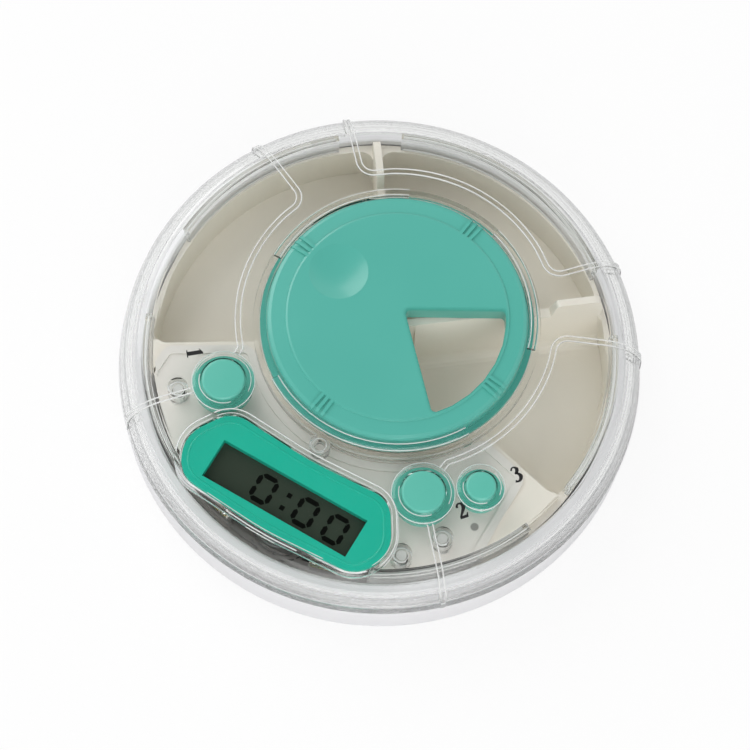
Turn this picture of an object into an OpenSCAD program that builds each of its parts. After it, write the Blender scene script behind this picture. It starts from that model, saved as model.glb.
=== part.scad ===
// Round three-compartment pill box with a clear lid, a hand-turned selector dial
// and a timer with a display and three buttons built into the lid.
// Millimetres, +Z up. The origin is the middle of the underside, the display
// faces -Y, and the dial's axis stands behind the middle of the box.

/* [Case] */
// Outside radius of the base at the parting line
case_r = 46; // [45:0.1:46.5]
// Height of the parting line between base and lid
part_z = 10.3; // [9.8:0.1:10.6]
// Thickness of the base's wall and floor
base_wall = 1.8; // [1.5:0.1:2.2]
// Outside radius of the ring that the lid slips over
ring_r = 43.3; // [43:0.1:43.4]
// Height of the top of that ring
ring_z = 13.9; // [13:0.1:14.1]

/* [Tray] */
// Outside radius of the compartment tray
tray_r = 41.2; // [40.8:0.1:41.3]
// Thickness of the tray's floor and walls
tray_wall = 1.2; // [1:0.1:1.4]
// Height of the tray's outer wall
tray_z = 12; // [11:0.1:12.2]
// Height of the walls beside the timer
bay_wall_z = 13.4; // [12.6:0.1:13.6]
// Height of the dividers' tabs near the rim
tab_z = 16.8; // [15:0.1:16.9]
// Height of the dividers and the closed sector under the dial
hub_z = 16.6; // [15:0.1:16.7]

/* [Lid] */
// Height of the lid's flat top
lid_z = 19.2; // [19:0.1:19.3]
// Thickness of the lid's top
lid_wall = 1.8; // [1.6:0.1:1.9]
// Radius of the lid's soft shoulder
shoulder_r = 6.5; // [6:0.1:7]
// Height and width of the raised bead round each clear panel
bead = 0.4; // [0.25:0.05:0.4]
bead_w = 0.9; // [0.7:0.05:1]

/* [Dial] */
// Distance of the dial's axis behind the middle of the box
dial_y = 5.5; // [5.3:0.1:5.7]
// Outside radius of the dial
dial_r = 22.8; // [22.4:0.1:23]
// Height of the dial's flat disc
dial_z = 20.9; // [20.6:0.1:21.2]
// Turn of the dial from +X, as it stands
dial_turn = -8; // [-12:1:-4]
// Angle of the pie-shaped window
window_angle = 76; // [70:1:80]

/* [Timer] */
// Height of the button tops
button_z = 20.9; // [20.6:0.1:21.2]
// Radius of the two large buttons
button_r = 3.75; // [3.5:0.05:3.9]
// Radius of the small button
small_button_r = 2.6; // [2.4:0.05:2.7]
// Travel of each button
button_travel = 0.8; // [0.5:0.05:0.8]
// Length and depth of the display's opening
glass_w = 28.2; // [27:0.1:29]
glass_d = 7.4; // [7:0.1:7.8]
// Height of the top of the circuit board
board_z = 11.4; // [11.2:0.1:11.5]

/* [Hidden] */
$fn = 96;

gap = 0.3;
eps = 0.01;
dial_c = [0, dial_y];

// Lid
lid_r = case_r - 0.5;
lid_in_z = lid_z - lid_wall;
lid_in_r = ring_r + gap;
shoulder_c = [lid_r - shoulder_r, lid_z - shoulder_r];
inner_shoulder_r = lid_in_z - shoulder_c.y;
lid_low_z = part_z + 0.2;

// Dial and what holds it
hole_r = dial_r + gap;
flange_r = dial_r + 1.1;
flange_top_z = lid_in_z - 0.2;
flange_z = flange_top_z - 1;
skirt_in_r = flange_r + 0.25;
skirt_out_r = skirt_in_r + 1;
skirt_z = lid_in_z - 2.8;
band_in_r = 19.4;
window_r = 18.9;
window_apex = [0.3, 1.6];

// Walls of the bay that the timer hangs in
bay_left = [[-19.8, -10.4], [-36.9, -20.9]];
bay_right = [[23.5, -5.0], [42.9, -9.5]];
bay_arc_r = 25.5;
bay_half = 32.6;
divider_angles = [38, 126];
closed_angles = [232, 308];

// Button places: x, y, cap radius, flange radius, collar radius
button_left = [-19.8, -20, button_r, 5.1, 5.5];
button_right = [19.8, -20, button_r, 5.1, 5.5];
button_small = [27.7, -14.1, small_button_r, 3.7, 4.2];
BUTTONS = [button_left, button_right, button_small];

// Display
glass_c = [0, -32.6];
island_z = lid_z + 1.1;
island_wall = 1.2;
bezel_top_z = island_z - 1.6;
bezel_z = bezel_top_z - 1.5;
lcd_top_z = bezel_z - 0.1;
lcd_z = lcd_top_z - 2;
lcd_half = 15;
lcd_y = [-37.2, -27.6];

// Timer module under the lid
plate_z = board_z + 1;
plate_top_z = plate_z + 1.2;
board_low_z = board_z - 1;
module_z = 3.8;
module_wall = 1.2;
POSTS = [[-26.3, -24.5], [26.3, -24.5], [21.8, -30.6]];
peg = [0, -20.9];
post_r = 1.8;
screw_r = 0.9;
cell_c = [0.4, -33.2];
cell_r = 5.8;
cell_z = 6;
cell_top_z = cell_z + 5.4;
door_r = 6.7;

// Points of an arc about c, from angle a to angle b in n steps
function arc(c, r, a, b, n = 24) =
    [for (i = [0:n]) c + r * [cos(a + (b - a) * i / n), sin(a + (b - a) * i / n)]];

function unit(v) = v / norm(v);

// Points of the arc that rounds corner b between a and c with radius r
function corner(a, b, c, r, n) =
    let (u = unit(a - b), w = unit(c - b), half = acos(u * w) / 2,
        m = b + unit(u + w) * r / sin(half),
        p = b + u * r / tan(half) - m, q = b + w * r / tan(half) - m,
        start = atan2(p.y, p.x), turn = (atan2(q.y, q.x) - start + 540) % 360 - 180)
    [for (i = [0:n]) m + r * [cos(start + turn * i / n), sin(start + turn * i / n)]];

// A closed outline whose corners are rounded with their own radii
function rounded(pts, radii, n = 8) =
    let (k = len(pts))
    [for (i = [0:k - 1]) each corner(pts[(i + k - 1) % k], pts[i], pts[(i + 1) % k], radii[i], n)];

// A revolved piece of wall between two angles
module sweep(a, b) {
    rotate([0, 0, a])
    rotate_extrude(angle = b - a)
    children();
}

module tube(r_out, r_in, z0, z1) {
    translate([0, 0, z0])
    difference() {
        cylinder(r = r_out, h = z1 - z0);
        translate([0, 0, -1]) cylinder(r = r_in, h = z1 - z0 + 2);
    }
}

module wedge(c, a, b, r = 90) {
    polygon(concat([c], arc(c, r, a, b, 12)));
}

// Base

module base_shell() color([0.91, 0.91, 0.93]) {
    floor_z = base_wall;
    foot = 0.6;
    edge = 1.8;
    in_r = case_r - base_wall;
    ring_in_r = ring_r - base_wall;
    rotate_extrude(start = 0)
    polygon(concat(
        [[0, foot], [36, foot], [36.3, 0], [40.7, 0], [41, foot]],
        arc([case_r - edge - 0.2, foot + edge], edge, 270, 360, 8),
        [[case_r, part_z - 0.3], [case_r - 0.3, part_z]],
        [[ring_r, part_z], [ring_r, ring_z - 0.3], [ring_r - 0.3, ring_z]],
        [[ring_in_r + 0.3, ring_z], [ring_in_r, ring_z - 0.3], [ring_in_r, part_z - base_wall]],
        [[in_r, part_z - base_wall - 0.6], [in_r, floor_z + 1.2], [in_r - 1.2, floor_z], [0, floor_z]]));
}

// Tray

// Between the bay's two straight walls, in plan, reaching past the tray's edge
module between_walls() {
    a = atan2(bay_left[0].y - dial_y, bay_left[0].x) + 360;
    b = atan2(bay_right[0].y - dial_y, bay_right[0].x) + 360;
    far = 60;
    polygon(concat(
        arc(dial_c, bay_arc_r, a, b, 24),
        [bay_right[1], [far, -far / 4], [far, -far], [-far, -far], [-far, -far / 2], bay_left[1]]));
}

// The bay's clear opening, without the decks at its two ends
module bay_plan() {
    intersection() {
        between_walls();
        translate([-bay_half, -60]) square([2 * bay_half, 80]);
    }
}

// One compartment in plan, between two walls that start at the dial's axis
module cell_plan(a, b) {
    soft = 2.4;
    offset(r = soft) offset(delta = -soft)
    difference() {
        intersection() {
            offset(delta = -tray_wall / 2) wedge(dial_c, a, b);
            circle(r = tray_r - tray_wall);
        }
        offset(delta = tray_wall) between_walls();
    }
}

module cells_plan() {
    cell_plan(closed_angles[1] - 360, divider_angles[0]);
    cell_plan(divider_angles[0], divider_angles[1]);
    cell_plan(divider_angles[1], closed_angles[0]);
}

// Side view of a divider: high under the dial, low past it, and a tab with
// rounded corners near the rim
module divider_side(reach) {
    low = [dial_r - 2, dial_r + 4.6];
    polygon(concat(
        [[-0.5, base_wall + 0.5], [reach, base_wall + 0.5]],
        corner([reach, 0], [reach, tab_z], [0, tab_z], 1.6, 5),
        corner([reach, tab_z], [low[1] + 1, tab_z], [low[1], bay_wall_z], 0.8, 4),
        [[low[1], bay_wall_z], [low[0], bay_wall_z], [low[0], hub_z], [-0.5, hub_z]]));
}

// A divider along its ray; a leaning one thickens downwards on its right side
// and meets the floor in a soft foot
module divider(a, reach, lean = 0) {
    floor_z = base_wall + tray_wall;
    foot = 2.6;
    side = tray_wall / 2 + 0.05;
    translate([dial_c.x, dial_c.y, 0])
    rotate([0, 0, a])
    intersection() {
        rotate([90, 0, 0]) translate([0, 0, -10]) linear_extrude(20) divider_side(reach);
        union() {
            translate([-1, -side, base_wall]) cube([reach + 2, 2 * side, 20]);
            if (lean > 0)
                translate([3.2, 0, 0])
                rotate([90, 0, 90])
                linear_extrude(reach)
                polygon(concat([[0, floor_z - 0.5], [0, tab_z + 2], [0.3 - side, tab_z + 2]],
                    [for (i = [0:6]) [foot * cos(15 * i) - lean, floor_z + foot * (1 - sin(15 * i))]],
                    [[-lean, floor_z - 0.5]]));
        }
    }
}

// A straight wall beside the bay, from a to b, w thick on the compartments' side
module bay_wall(a, b, w) {
    n = w * [-unit(b - a).y, unit(b - a).x];
    intersection() {
        translate([0, 0, base_wall + 0.5])
        linear_extrude(bay_wall_z - base_wall - 0.5)
        polygon([a, b, b + n, a + n]);
        cylinder(r = tray_r - tray_wall - 0.2, h = 30);
    }
}

module compartment_tray() color([0.9, 0.88, 0.84]) {
    floor_z = base_wall + tray_wall;
    difference() {
        union() {
            difference() {
                union() {
                    translate([0, 0, base_wall]) cylinder(r = tray_r, h = tray_z - base_wall);
                    // The walls beside the timer stand higher than the rim
                    translate([dial_c.x, dial_c.y, floor_z])
                    cylinder(r = bay_arc_r + 0.6, h = bay_wall_z - floor_z);
                    bay_wall(bay_left[0], bay_left[1], -tray_wall - 0.6);
                    bay_wall(bay_right[0], bay_right[1], tray_wall + 0.6);
                    for (m = [-1, 1]) intersection() {
                        translate([0, 0, base_wall + 0.5])
                        cylinder(r = tray_r - tray_wall - 0.2, h = bay_wall_z - base_wall - 0.5);
                        translate([0, 0, base_wall])
                        linear_extrude(20)
                        polygon([[m * (bay_half - 1), -40], [m * 60, -40], m < 0 ? bay_left[1] : bay_right[1],
                            m < 0 ? bay_left[0] : bay_right[0]]);
                    }
                }
                translate([0, 0, floor_z]) linear_extrude(20) cells_plan();
                translate([0, 0, floor_z]) linear_extrude(20) bay_plan();
            }
            // Closed sector under the dial, where its window is parked
            translate([dial_c.x, dial_c.y, floor_z])
            sweep(closed_angles[0], closed_angles[1])
            square([dial_r - 2, hub_z - floor_z]);
            intersection() {
                union() {
                    divider(divider_angles[0], 36.5, 4.6);
                    divider(divider_angles[1], 35.7);
                }
                cylinder(r = tray_r - tray_wall + 0.3, h = 30);
            }
        }
        // The closed sector and the decks are hollow from below
        translate([dial_c.x, dial_c.y, 0])
        sweep(closed_angles[0] + 4, closed_angles[1] - 4)
        polygon([[5, 0], [bay_arc_r - tray_wall, 0], [bay_arc_r - tray_wall, bay_wall_z - tray_wall],
            [dial_r - 3.2, bay_wall_z - tray_wall], [dial_r - 3.2, hub_z - tray_wall], [5, hub_z - tray_wall]]);
        for (m = [-1, 1]) {
            rim = m < 0 ? bay_left[1] : bay_right[1];
            inner = m * (bay_half + tray_wall);
            intersection() {
                cylinder(r = tray_r - 2 * tray_wall - 0.2, h = bay_wall_z - tray_wall);
                linear_extrude(20)
                polygon([[inner, -40], [m * 60, -40], rim - [0, 1.4], [inner, m < 0 ? -19.4 : -8.6]]);
            }
        }
    }
}

// Lid

// The lid's outside as a half section, grown by g all round
module lid_outside(g, low = lid_low_z) {
    polygon(concat(
        [[0, low], [min(case_r, case_r - 0.1 + g), low]],
        arc(shoulder_c, shoulder_r + g, 0, 90, 12),
        [[0, lid_z + g]]));
}

module lid_inside(low) {
    polygon(concat(
        [[0, low], [lid_in_r + 0.3, low], [lid_in_r, low + 0.6]],
        arc([lid_in_r - inner_shoulder_r, shoulder_c.y], inner_shoulder_r, 0, 90, 12),
        [[0, lid_in_z]]));
}

// Outlines of the three clear panels, reaching past the lid's edge
panel_r = 27.7;
panel_soft = 2.6;
far_r = 60;
function dial_polar(r, a) = dial_c + r * [cos(a), sin(a)];
function side_panel(m) = [for (p = concat(
    [dial_polar(far_r, 23.5)],
    corner(dial_polar(far_r, 23.5), dial_polar(panel_r, 23.5), dial_polar(panel_r, 16), panel_soft, 5),
    arc(dial_c, panel_r, 15, -42, 14),
    [[19.8, -20], [19.8, -20] + 40 * [cos(-48), sin(-48)], [70, -60]])) [m * p.x, p.y]];
function rear_panel() = concat(
    [dial_polar(far_r, 133)],
    corner(dial_polar(far_r, 133), dial_polar(panel_r + 0.4, 133), dial_polar(panel_r + 0.4, 124),
        panel_soft, 5),
    arc(dial_c, panel_r + 0.4, 122, 58, 16),
    corner(dial_polar(panel_r + 0.4, 56), dial_polar(panel_r + 0.4, 47), dial_polar(far_r, 47),
        panel_soft, 5),
    [dial_polar(far_r, 47)]);

module panel_beads_plan() {
    difference() {
        for (p = [side_panel(1), side_panel(-1), rear_panel()])
            difference() {
                offset(r = bead_w / 2, $fn = 24) polygon(p);
                offset(r = -bead_w / 2, $fn = 24) polygon(p);
            }
        for (b = BUTTONS) translate([b.x, b.y]) circle(r = b[4] - 0.3);
        offset(delta = 0.9) bezel_plan();
    }
}

// The beads follow the lid's shape over its shoulder and down its side
module panel_beads() {
    intersection() {
        translate([0, 0, lid_low_z]) linear_extrude(12) panel_beads_plan();
        difference() {
            rotate_extrude() lid_outside(bead);
            translate([0, 0, -eps]) rotate_extrude() lid_outside(-0.4, lid_low_z - 1);
        }
    }
}

// Raised lip round the dial in three pieces
module dial_collar() {
    for (s = [[16.5, 73.5], [115, 182], [238.5, 330]])
        translate([dial_c.x, dial_c.y, 0])
        sweep(s[0], s[1])
        polygon([[hole_r - 0.3, lid_z - 0.5], [hole_r - 0.3, lid_z + 0.55], [hole_r + 0.25, lid_z + 0.8],
            [hole_r + 1.15, lid_z + 0.8], [hole_r + 1.5, lid_z + 0.5], [hole_r + 1.5, lid_z - 0.5]]);
}

// Skirt segments that sit inside the base's ring
module locating_skirt() {
    r1 = ring_r - base_wall - 0.35;
    for (s = [[52, 115], [131, 178], [-8, 34], [-63, -22], [202, 243]])
        sweep(s[0], s[1])
        polygon([[r1 - 1.1, 12.8], [r1 - 0.8, 12.4], [r1 - 0.2, 12.4], [r1, 12.7],
            [r1, shoulder_c.y + 4.4], [r1 - 1.1, shoulder_c.y + 4.8]]);
}

module button_collar(b) {
    translate([b.x, b.y, 0])
    rotate_extrude()
    polygon([[b[2], lid_z - 0.5], [b[2], lid_z + 0.9], [b[4] - 0.7, lid_z + 0.9],
        [b[4] - 0.25, lid_z + 0.75], [b[4], lid_z + 0.4], [b[4], lid_z - 0.5]]);
}

// Outline of the display's surround, drawn in at the top and bowed at the front
module bezel_plan() {
    polygon(rounded([[-15.6, -23.8], [0, -24.7], [15.6, -23.8], [20.4, -31.6], [17.6, -38.1],
        [0, -39.3], [-17.6, -38.1], [-20.4, -31.6]],
        [5, 60, 5, 6.2, 5.4, 60, 5.4, 6.2]));
}

module clear_cover() color([0.85, 0.92, 0.95, 0.35]) {
    difference() {
        union() {
            difference() {
                rotate_extrude() lid_outside(0);
                translate([0, 0, -eps]) rotate_extrude() lid_inside(lid_low_z - eps);
            }
            panel_beads();
            dial_collar();
            locating_skirt();
            for (b = BUTTONS) button_collar(b);
            // Skirt that centres the dial's flange
            translate([dial_c.x, dial_c.y, 0]) tube(skirt_out_r, skirt_in_r, skirt_z, lid_in_z + 0.5);
            // Raised window over the display
            translate([0, 0, lid_in_z + 0.3]) linear_extrude(island_z - 0.35 - lid_in_z - 0.3)
            offset(r = island_wall) bezel_plan();
            translate([0, 0, island_z - 0.35 - eps]) linear_extrude(0.35 + eps)
            offset(r = island_wall - 0.35) bezel_plan();
            // Posts for the timer's screws, and a hollow peg between them
            for (p = POSTS) translate([p.x, p.y, plate_top_z])
                cylinder(r = post_r, h = lid_in_z - plate_top_z + 0.4);
            translate([peg.x, peg.y, plate_top_z + 0.6])
            cylinder(r = post_r, h = lid_in_z - plate_top_z - 0.2);
        }
        translate([dial_c.x, dial_c.y, 0]) cylinder(r = hole_r, h = 40);
        for (b = BUTTONS) translate([b.x, b.y, 15]) cylinder(r = b[2] + gap, h = 10);
        translate([0, 0, 15]) linear_extrude(bezel_top_z + 0.1 - 15) offset(r = 0.25) bezel_plan();
        for (p = concat(POSTS, [peg])) translate([p.x, p.y, plate_top_z - 1])
            cylinder(r = screw_r + 0.05, h = 3.6);
    }
}

module dial_retaining_ring() color([0.93, 0.93, 0.93]) {
    translate([dial_c.x, dial_c.y, 0])
    difference() {
        rotate_extrude()
        polygon([[dial_r - 0.6, flange_z - 1.3], [skirt_in_r - 0.3, flange_z - 1.3],
            [skirt_in_r - 0.1, flange_z - 1], [skirt_in_r - 0.1, flange_z - 0.2],
            [dial_r - 0.6, flange_z - 0.2]]);
        // Cuts that let the ring spring into the lid's skirt
        for (i = [0:5]) rotate([0, 0, 30 + 60 * i])
            translate([skirt_in_r - 0.7, -0.8, 0]) cube([2, 1.6, 30]);
    }
}

// Dial, drawn about its own axis with its window towards +X

module window_plan() {
    half = window_angle / 2;
    a = window_apex;
    soft = 0.8;
    offset(r = soft, $fn = 32) offset(delta = -soft)
    intersection() {
        polygon([a, a + 40 * [cos(half), sin(half)], a + 40 * [cos(half), -sin(half)]]);
        circle(r = window_r);
    }
}

// Edge of the window, rolled over in steps
module window_cut() {
    roll = 0.5;
    steps = 4;
    translate([0, 0, 10]) linear_extrude(20) window_plan();
    for (i = [0:steps - 1])
        translate([0, 0, dial_z - roll * (1 - sin(90 * i / steps))])
        linear_extrude(2)
        offset(r = roll * (1 - cos(90 * (i + 1) / steps)), $fn = 32) window_plan();
}

module grip_ribs() {
    for (q = [0:3]) rotate([0, 0, 90 * q])
        for (k = [-1:1]) rotate([0, 0, k * 2.9])
            translate([0, 0.3, 0])
            rotate([90, 0, 0])
            linear_extrude(0.6)
            polygon([[band_in_r - 0.3, dial_z - 1.5], [band_in_r - 0.3, dial_z - 0.02],
                [band_in_r + 0.6, dial_z - 0.05],
                [dial_r - 0.9, dial_z - 0.2], [dial_r - 0.25, dial_z - 0.6], [dial_r + 0.02, dial_z - 1.2],
                [dial_r - 0.6, dial_z - 1.5]]);
}

module selector_dial() color([0.36, 0.72, 0.66]) {
    plate = 2;
    wall = 1.5;
    dish_r = 18;
    dish_w = 5.2;
    dish_deep = dish_r - sqrt(dish_r * dish_r - dish_w * dish_w);
    translate([dial_c.x, dial_c.y, 0])
    rotate([0, 0, dial_turn])
    difference() {
        union() {
            rotate_extrude()
            polygon([[0, dial_z - plate], [0, dial_z], [band_in_r - 0.3, dial_z], [band_in_r, dial_z - 0.12],
                [band_in_r + 0.15, dial_z - 0.35], [band_in_r + 0.5, dial_z - 0.38],
                [dial_r - 0.9, dial_z - 0.5], [dial_r - 0.35, dial_z - 0.75], [dial_r - 0.08, dial_z - 1.15],
                [dial_r, dial_z - 1.7], [dial_r, flange_top_z], [flange_r, flange_top_z], [flange_r, flange_z],
                [dial_r - wall, flange_z], [dial_r - wall, dial_z - plate]]);
            grip_ribs();
            // Wall round the window
            translate([0, 0, flange_top_z]) linear_extrude(dial_z - 1 - flange_top_z)
            intersection() {
                offset(r = 1, $fn = 32) window_plan();
                circle(r = dial_r - wall / 2);
            }
        }
        window_cut();
        // Dimple for a fingertip
        translate([-13.1, 0, dial_z + dish_r - dish_deep]) sphere(r = dish_r);
    }
}

// Display

module display_bezel() color([0.18, 0.66, 0.59]) {
    difference() {
        translate([0, 0, bezel_z]) linear_extrude(bezel_top_z - bezel_z) bezel_plan();
        translate([-glass_w / 2, glass_c.y - glass_d / 2, 0]) cube([glass_w, glass_d, 30]);
    }
}

module lcd_glass() color([0.19, 0.22, 0.19]) {
    translate([-lcd_half, lcd_y[0], lcd_z]) cube([2 * lcd_half, lcd_y[1] - lcd_y[0], lcd_top_z - lcd_z]);
}

// Conductive rubber strips on both sides of the cell
module lcd_connector_strips() color([0.85, 0.45, 0.5]) {
    for (x = [-14, 6.6])
        translate([x, lcd_y[1] - 1.7, board_z]) cube([7.4, 1.4, lcd_z - board_z]);
}

// Buttons

module button_cap(b) {
    stem_r = 1.7;
    translate([b.x, b.y, 0])
    rotate_extrude()
    polygon(concat([[0, plate_top_z - 0.4], [stem_r, plate_top_z - 0.4], [stem_r, lid_in_z - 1.3],
        [b[3], lid_in_z - 1.3], [b[3], lid_in_z - 0.1], [b[2], lid_in_z - 0.1]],
        [for (i = [0:5]) [b[2] - 0.5 * (1 - cos(18 * i)), button_z - 0.15 - 0.5 * (1 - sin(18 * i))]],
        [[b[2] * 0.4, button_z - 0.06], [0, button_z]]));
}

module contact_puck(b) {
    translate([b.x, b.y, board_z + button_travel + 0.1])
    cylinder(r = 1.9, h = plate_top_z - 0.4 - board_z - button_travel - 0.1);
}

module button_cap_left() color([0.36, 0.74, 0.67]) button_cap(button_left);
module button_cap_right() color([0.36, 0.74, 0.67]) button_cap(button_right);
module button_cap_small() color([0.36, 0.74, 0.67]) button_cap(button_small);
module contact_puck_left() color([0.15, 0.15, 0.16]) contact_puck(button_left);
module contact_puck_right() color([0.15, 0.15, 0.16]) contact_puck(button_right);
module contact_puck_small() color([0.15, 0.15, 0.16]) contact_puck(button_small);

// Rubber skirts that stand on the board round the pucks
module button_domes() color([0.8, 0.8, 0.8]) {
    for (b = BUTTONS)
        translate([b.x, b.y, board_z])
        rotate_extrude()
        polygon([[2.2, 0], [2.9, 0], [2.9, 0.35], [2.5, 0.75], [2.2, 0.75]]);
}

// Timer module

// The module in plan: it fills the bay with a small gap and stays inside the lid's skirt
module module_plan(g = 0) {
    soft = 1.5;
    offset(r = soft) offset(delta = -soft)
    intersection() {
        offset(delta = -0.5 - g) bay_plan();
        circle(r = ring_r - base_wall - 1.9 - g);
    }
}

module module_plate() color([0.89, 0.88, 0.86]) {
    wall = 0.9;
    open_y = -36.6;
    difference() {
        union() {
            translate([0, 0, plate_z]) linear_extrude(plate_top_z - plate_z)
            difference() {
                module_plan();
                // Open at the front, where the board and the cell show
                translate([-16.5, open_y - 20]) square([33, 20]);
            }
            // Lip that laps over the tray's walls round the bay
            translate([0, 0, bay_wall_z + 0.05]) linear_extrude(0.4)
            difference() {
                intersection() {
                    offset(delta = 0.95) module_plan();
                    circle(r = ring_r - base_wall - 2.2);
                    translate([-60, -23.4]) square([120, 60]);
                }
                offset(delta = -0.5) module_plan();
            }
            // Frame that carries the display's glass
            translate([-lcd_half - wall - 0.1, lcd_y[0] - 0.1, plate_top_z - 0.3])
            cube([2 * (lcd_half + wall + 0.1), lcd_y[1] - lcd_y[0] + wall + 0.2, lcd_top_z - plate_top_z]);
        }
        translate([-lcd_half - 0.1, lcd_y[0] - 1, lcd_z])
        cube([2 * lcd_half + 0.2, lcd_y[1] - lcd_y[0] + 1.1, 10]);
        translate([-lcd_half + 0.7, lcd_y[0] + 0.8, plate_z - 1])
        cube([2 * lcd_half - 1.4, lcd_y[1] - lcd_y[0] - 1, 10]);
        for (b = BUTTONS) translate([b.x, b.y, plate_z - 1]) cylinder(r = 2.4, h = 4);
        for (p = POSTS) translate([p.x, p.y, plate_z - 1]) cylinder(r = screw_r + 0.3, h = 4);
    }
}

module circuit_board() color([0.16, 0.42, 0.25]) {
    difference() {
        translate([0, 0, board_low_z]) linear_extrude(board_z - board_low_z)
        intersection() {
            module_plan(module_wall + 0.3);
            translate([-50, -38.6]) square([100, 60]);
        }
        // Room for the cell's holder and the bar in front of it
        translate([cell_c.x, cell_c.y, 5]) cylinder(r = cell_r + 1.5, h = 10);
        translate([cell_c.x - 7.7, -40, 5]) cube([15.4, 4, 10]);
        for (p = POSTS) translate([p.x, p.y, 5]) cylinder(r = 2.3, h = 10);
    }
}

module controller_chip() color([0.07, 0.07, 0.08]) {
    translate([-12.5, -29, board_low_z - 1.4])
    rotate_extrude() polygon([[0, 0], [1.6, 0.1], [2.9, 0.5], [3.6, 1.4], [0, 1.4]]);
}

module quartz_crystal() color([0.75, 0.76, 0.78]) {
    translate([8, -22.8, board_low_z - 1]) rotate([0, 90, 0]) {
        cylinder(r = 1, h = 5.8);
        for (s = [-0.35, 0.35]) translate([0, s, -2]) cylinder(r = 0.15, h = 2);
    }
}

module piezo_buzzer() color([0.8, 0.67, 0.33]) {
    translate([13.6, -30.6, board_low_z - 0.9]) {
        cylinder(r = 4.4, h = 0.3);
        translate([0, 0, -0.25]) cylinder(r = 3, h = 0.3);
        translate([0, 0, 0.3]) difference() {
            cylinder(r = 4.4, h = 0.6);
            translate([0, 0, -1]) cylinder(r = 3.9, h = 3);
        }
    }
}

module button_cell() color([0.72, 0.73, 0.75]) {
    translate([cell_c.x, cell_c.y, cell_z])
    rotate_extrude()
    polygon([[0, 0], [4.4, 0], [4.6, 0.7], [cell_r - 0.5, 0.9], [cell_r, 1.3], [cell_r, 5.2],
        [cell_r - 0.2, 5.4], [0, 5.4]]);
}

module cell_holder() color([0.08, 0.08, 0.09]) {
    wall_r = cell_r + 1.3;
    translate([cell_c.x, cell_c.y, 0])
    difference() {
        union() {
            translate([0, 0, cell_z + 0.2]) cylinder(r = wall_r, h = board_z - cell_z - 0.2);
            // Flange that hangs from the circuit board
            translate([0, 0, board_low_z - 1]) cylinder(r = wall_r + 1.2, h = 1);
        }
        translate([0, 0, -1]) cylinder(r = cell_r + 0.15, h = 30);
        translate([-20, -40 - 3.2, 0]) cube([40, 40, 20]);
        // Gap for the contact on the cell's side
        translate([3.4, 2.2, 0]) cube([10, 3, 30]);
    }
    // Bar over the cell's front, which shows below the display
    bar = [15, 1.3, 0.9];
    translate([cell_c.x - bar.x / 2, -37.9, cell_top_z + 0.1]) cube(bar);
    for (m = [-1, 1])
        translate([cell_c.x + m * (bar.x - 1.2) / 2 - 0.6, -37.9, board_low_z - 1]) {
            cube([1.2, 1.3, cell_top_z + 1 - board_low_z + 0.5]);
            cube([1.2, 3.6, 1]);
        }
}

module cell_contact_top() color([0.82, 0.8, 0.74]) {
    translate([cell_c.x - 1.5, cell_c.y - 2.4, cell_top_z + 0.02]) cube([3, 10.8, 0.3]);
}

module cell_contact_side() color([0.82, 0.8, 0.74]) {
    translate([cell_c.x + cell_r + 0.02, cell_c.y + 2.4, cell_z + 1.4]) cube([0.3, 2.6, 2.6]);
}

module module_back() color([0.9, 0.9, 0.89]) {
    top = plate_z;
    difference() {
        union() {
            difference() {
                translate([0, 0, module_z]) linear_extrude(top - module_z) module_plan();
                translate([0, 0, module_z + module_wall]) linear_extrude(20) module_plan(module_wall);
            }
            for (p = POSTS) translate([p.x, p.y, module_z + 0.5]) cylinder(r = 2.1, h = top - module_z - 0.5);
            intersection() {
                translate([cell_c.x, cell_c.y, module_z + 0.2]) cylinder(r = door_r + 1, h = module_wall);
                cylinder(r = ring_r - base_wall - 2.2, h = 30);
            }
        }
        translate([cell_c.x, cell_c.y, 0]) {
            cylinder(r = cell_r + 0.5, h = 30);
            translate([0, 0, module_z - 1]) cylinder(r = door_r + 0.3, h = 1.7);
            // Ways in for the door's two lugs
            for (a = [-38, 142]) rotate([0, 0, a]) translate([0, -1.6, 0]) cube([door_r, 3.2, 10]);
            // The cell's front shows through the wall
            translate([-8, -10, module_z + module_wall + 0.5]) cube([16, 6.6, 10]);
        }
        for (p = POSTS) {
            translate([p.x, p.y, 0]) cylinder(r = screw_r + 0.3, h = 20);
            translate([p.x, p.y, module_z - 1]) cylinder(r = 2, h = 1.9);
        }
    }
}

// Coin-slot door that locks with a part turn
module battery_door() color([0.9, 0.9, 0.89]) {
    lug_z = module_z + module_wall + 0.3;
    translate([cell_c.x, cell_c.y, 0])
    difference() {
        union() {
            translate([0, 0, module_z + 0.1]) cylinder(r = door_r, h = 0.5);
            translate([0, 0, module_z + 0.2]) cylinder(r = cell_r + 0.2, h = lug_z + 0.5 - module_z - 0.2);
            for (a = [2, 182]) rotate([0, 0, a]) translate([4, -1.3, lug_z]) cube([door_r - 4.1, 2.6, 0.5]);
        }
        translate([-4.2, -0.7, module_z - 1]) cube([8.4, 1.4, 2]);
        // Groove of the seal
        translate([0, 0, lug_z - 0.9]) tube(cell_r + 1, cell_r - 0.6, 0, 0.8);
    }
}

module battery_door_seal() color([0.1, 0.1, 0.1]) {
    translate([cell_c.x, cell_c.y, module_z + module_wall - 0.2])
    rotate_extrude() translate([cell_r - 0.2, 0]) circle(r = 0.38);
}

module module_screws() color([0.7, 0.71, 0.73]) {
    for (p = POSTS) translate([p.x, p.y, module_z + 0.9]) difference() {
        union() {
            translate([0, 0, -0.8]) cylinder(r = 1.7, h = 0.8);
            cylinder(r = screw_r, h = plate_top_z + 2.3 - module_z - 0.9);
        }
        for (a = [0, 90]) rotate([0, 0, a]) translate([-1.1, -0.2, -1.2]) cube([2.2, 0.4, 0.9]);
    }
}

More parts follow.
